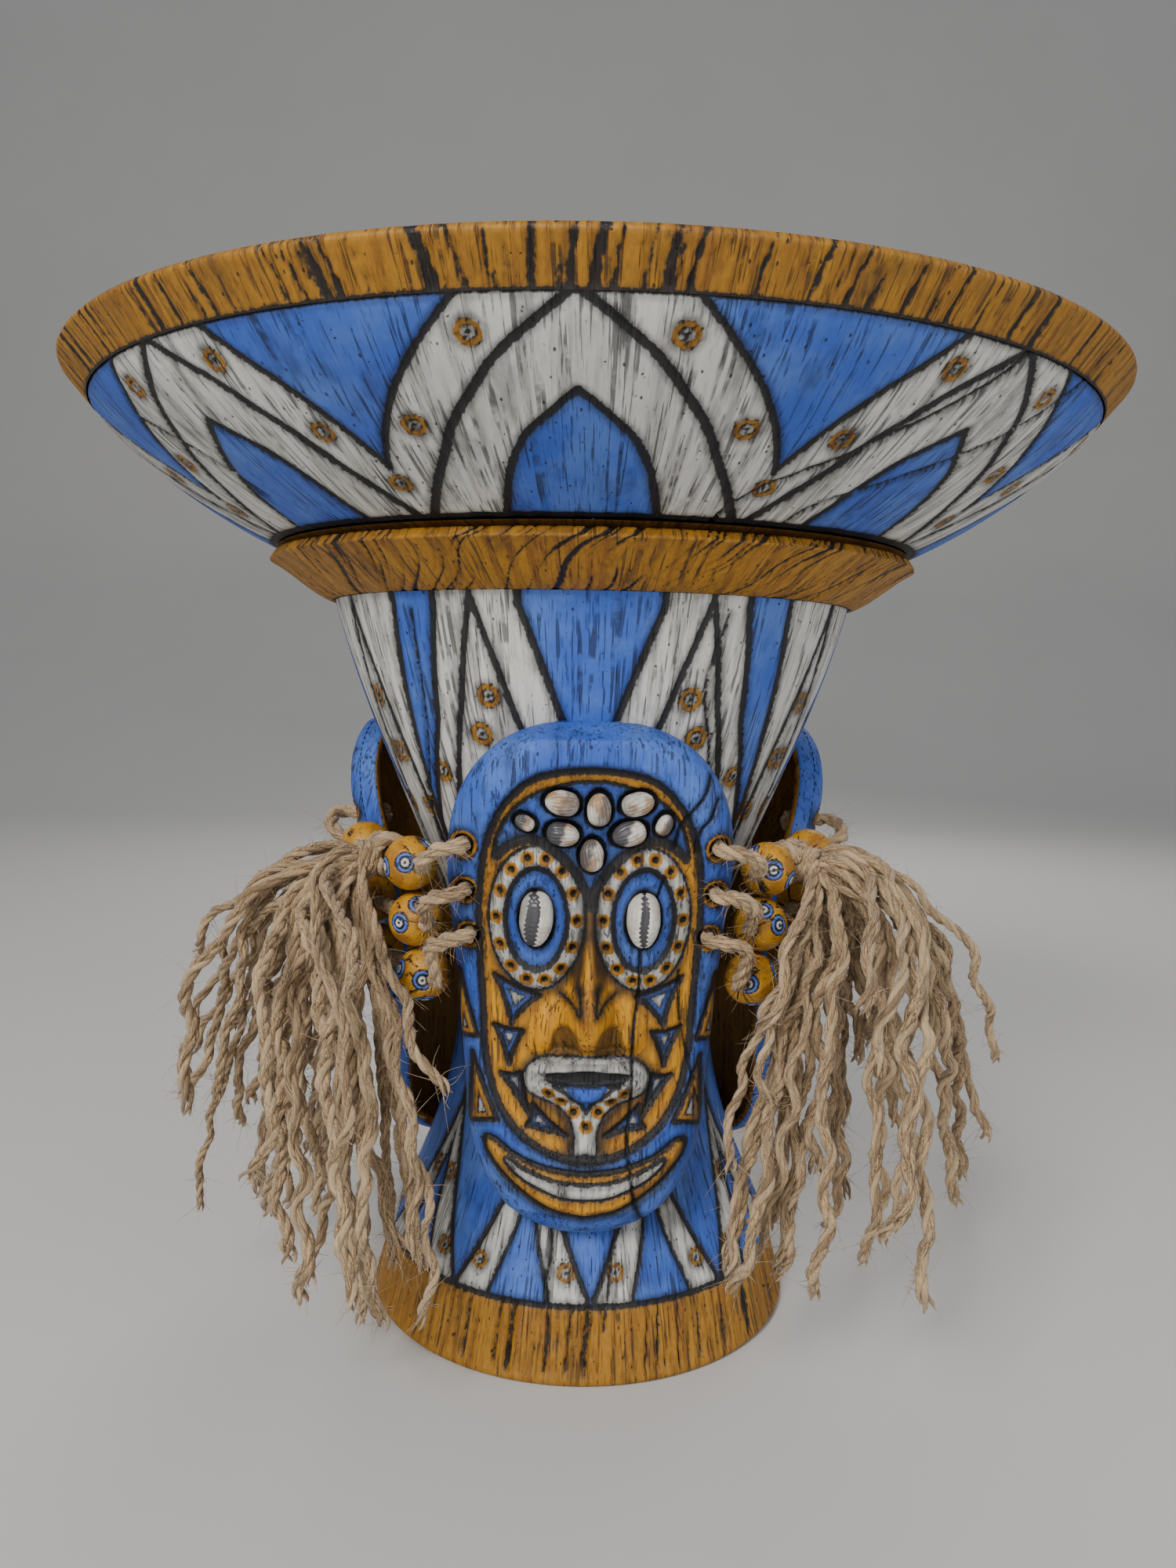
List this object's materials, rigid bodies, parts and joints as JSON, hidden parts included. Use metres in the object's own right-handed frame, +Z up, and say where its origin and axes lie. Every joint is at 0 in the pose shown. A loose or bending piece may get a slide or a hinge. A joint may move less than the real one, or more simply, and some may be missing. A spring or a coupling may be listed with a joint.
{
  "type": "pedestal dish with masks",
  "caption": "Footed wooden pedestal dish, carved and painted, ringed by laced face masks with shell eyes, spinning painted beads and swinging jute tassels.",
  "frame": {"origin": "centre of the underside of the foot", "axes": "+Z up; -Y out through the front mask's nose; +X to the front mask's right as seen from the front"},
  "size_m": [0.384, 0.384, 0.35],
  "materials": {
    "pedestal_paint": "matt weathered paint over carved, grooved wood",
    "dish_paint": "matt weathered paint over carved, grooved wood",
    "mask_paint": "matt weathered paint over carved wood",
    "bead_paint": "matt worn paint",
    "cowrie": "satin shell",
    "sea_shell": "satin ribbed shell",
    "jute_cord": "hairy twisted jute",
    "jute_tassel": "hairy unravelled jute"
  },
  "bodies": {
    "root": {"pedestal": "pedestal_paint", "dish": "dish_paint", "mask_front": "mask_paint", "mask_left": "mask_paint", "mask_right": "mask_paint", "eye_shells_front": "cowrie", "eye_shells_left": "cowrie", "eye_shells_right": "cowrie", "brow_shells_front": "sea_shell", "brow_shells_left": "sea_shell", "brow_shells_right": "sea_shell", "cord_left_upper": "jute_cord", "cord_left_middle": "jute_cord", "cord_left_lower": "jute_cord", "cord_back_upper": "jute_cord", "cord_back_middle": "jute_cord", "cord_back_lower": "jute_cord", "cord_right_upper": "jute_cord", "cord_right_middle": "jute_cord", "cord_right_lower": "jute_cord"},
    "bead_left_upper_a": {"bead_left_upper_a": "bead_paint"},
    "bead_left_upper_b": {"bead_left_upper_b": "bead_paint"},
    "bead_left_middle_a": {"bead_left_middle_a": "bead_paint"},
    "bead_left_middle_b": {"bead_left_middle_b": "bead_paint"},
    "bead_left_lower_a": {"bead_left_lower_a": "bead_paint"},
    "bead_left_lower_b": {"bead_left_lower_b": "bead_paint"},
    "tassel_left": {"tassel_left": "jute_tassel"},
    "bead_back_upper_a": {"bead_back_upper_a": "bead_paint"},
    "bead_back_upper_b": {"bead_back_upper_b": "bead_paint"},
    "bead_back_middle_a": {"bead_back_middle_a": "bead_paint"},
    "bead_back_middle_b": {"bead_back_middle_b": "bead_paint"},
    "bead_back_lower_a": {"bead_back_lower_a": "bead_paint"},
    "bead_back_lower_b": {"bead_back_lower_b": "bead_paint"},
    "tassel_back": {"tassel_back": "jute_tassel"},
    "bead_right_upper_a": {"bead_right_upper_a": "bead_paint"},
    "bead_right_upper_b": {"bead_right_upper_b": "bead_paint"},
    "bead_right_middle_a": {"bead_right_middle_a": "bead_paint"},
    "bead_right_middle_b": {"bead_right_middle_b": "bead_paint"},
    "bead_right_lower_a": {"bead_right_lower_a": "bead_paint"},
    "bead_right_lower_b": {"bead_right_lower_b": "bead_paint"},
    "tassel_right": {"tassel_right": "jute_tassel"}
  },
  "joints": [
    {"name": "bead_left_upper_a_spin", "type": "hinge", "parent": "root", "child": "bead_left_upper_a", "pos_m": [-0.08461, -0.02345, 0.18], "axis": [0.5, -0.866, 0], "continuous": true},
    {"name": "bead_left_upper_b_spin", "type": "hinge", "parent": "root", "child": "bead_left_upper_b", "pos_m": [-0.06261, -0.06155, 0.18], "axis": [0.5, -0.866, 0], "continuous": true},
    {"name": "bead_left_middle_a_spin", "type": "hinge", "parent": "root", "child": "bead_left_middle_a", "pos_m": [-0.08288, -0.02245, 0.16], "axis": [0.5, -0.866, 0], "continuous": true},
    {"name": "bead_left_middle_b_spin", "type": "hinge", "parent": "root", "child": "bead_left_middle_b", "pos_m": [-0.06088, -0.06055, 0.16], "axis": [0.5, -0.866, 0], "continuous": true},
    {"name": "bead_left_lower_a_spin", "type": "hinge", "parent": "root", "child": "bead_left_lower_a", "pos_m": [-0.08028, -0.02095, 0.14], "axis": [0.5, -0.866, 0], "continuous": true},
    {"name": "bead_left_lower_b_spin", "type": "hinge", "parent": "root", "child": "bead_left_lower_b", "pos_m": [-0.05828, -0.05905, 0.14], "axis": [0.5, -0.866, 0], "continuous": true},
    {"name": "tassel_left_swing", "type": "hinge", "parent": "root", "child": "tassel_left", "pos_m": [-0.07361, -0.0425, 0.18], "axis": [-0.5, 0.866, 0], "range_deg": [0, 50]},
    {"name": "bead_back_upper_a_spin", "type": "hinge", "parent": "root", "child": "bead_back_upper_a", "pos_m": [0.022, 0.085, 0.18], "axis": [-1, 0, 0], "continuous": true},
    {"name": "bead_back_upper_b_spin", "type": "hinge", "parent": "root", "child": "bead_back_upper_b", "pos_m": [-0.022, 0.085, 0.18], "axis": [-1, 0, 0], "continuous": true},
    {"name": "bead_back_middle_a_spin", "type": "hinge", "parent": "root", "child": "bead_back_middle_a", "pos_m": [0.022, 0.083, 0.16], "axis": [-1, 0, 0], "continuous": true},
    {"name": "bead_back_middle_b_spin", "type": "hinge", "parent": "root", "child": "bead_back_middle_b", "pos_m": [-0.022, 0.083, 0.16], "axis": [-1, 0, 0], "continuous": true},
    {"name": "bead_back_lower_a_spin", "type": "hinge", "parent": "root", "child": "bead_back_lower_a", "pos_m": [0.022, 0.08, 0.14], "axis": [-1, 0, 0], "continuous": true},
    {"name": "bead_back_lower_b_spin", "type": "hinge", "parent": "root", "child": "bead_back_lower_b", "pos_m": [-0.022, 0.08, 0.14], "axis": [-1, 0, 0], "continuous": true},
    {"name": "tassel_back_swing", "type": "hinge", "parent": "root", "child": "tassel_back", "pos_m": [0, 0.085, 0.18], "axis": [1, 0, 0], "range_deg": [0, 50]},
    {"name": "bead_right_upper_a_spin", "type": "hinge", "parent": "root", "child": "bead_right_upper_a", "pos_m": [0.06261, -0.06155, 0.18], "axis": [0.5, 0.866, 0], "continuous": true},
    {"name": "bead_right_upper_b_spin", "type": "hinge", "parent": "root", "child": "bead_right_upper_b", "pos_m": [0.08461, -0.02345, 0.18], "axis": [0.5, 0.866, 0], "continuous": true},
    {"name": "bead_right_middle_a_spin", "type": "hinge", "parent": "root", "child": "bead_right_middle_a", "pos_m": [0.06088, -0.06055, 0.16], "axis": [0.5, 0.866, 0], "continuous": true},
    {"name": "bead_right_middle_b_spin", "type": "hinge", "parent": "root", "child": "bead_right_middle_b", "pos_m": [0.08288, -0.02245, 0.16], "axis": [0.5, 0.866, 0], "continuous": true},
    {"name": "bead_right_lower_a_spin", "type": "hinge", "parent": "root", "child": "bead_right_lower_a", "pos_m": [0.05828, -0.05905, 0.14], "axis": [0.5, 0.866, 0], "continuous": true},
    {"name": "bead_right_lower_b_spin", "type": "hinge", "parent": "root", "child": "bead_right_lower_b", "pos_m": [0.08028, -0.02095, 0.14], "axis": [0.5, 0.866, 0], "continuous": true},
    {"name": "tassel_right_swing", "type": "hinge", "parent": "root", "child": "tassel_right", "pos_m": [0.07361, -0.0425, 0.18], "axis": [-0.5, -0.866, 0], "range_deg": [0, 50]}
  ]
}
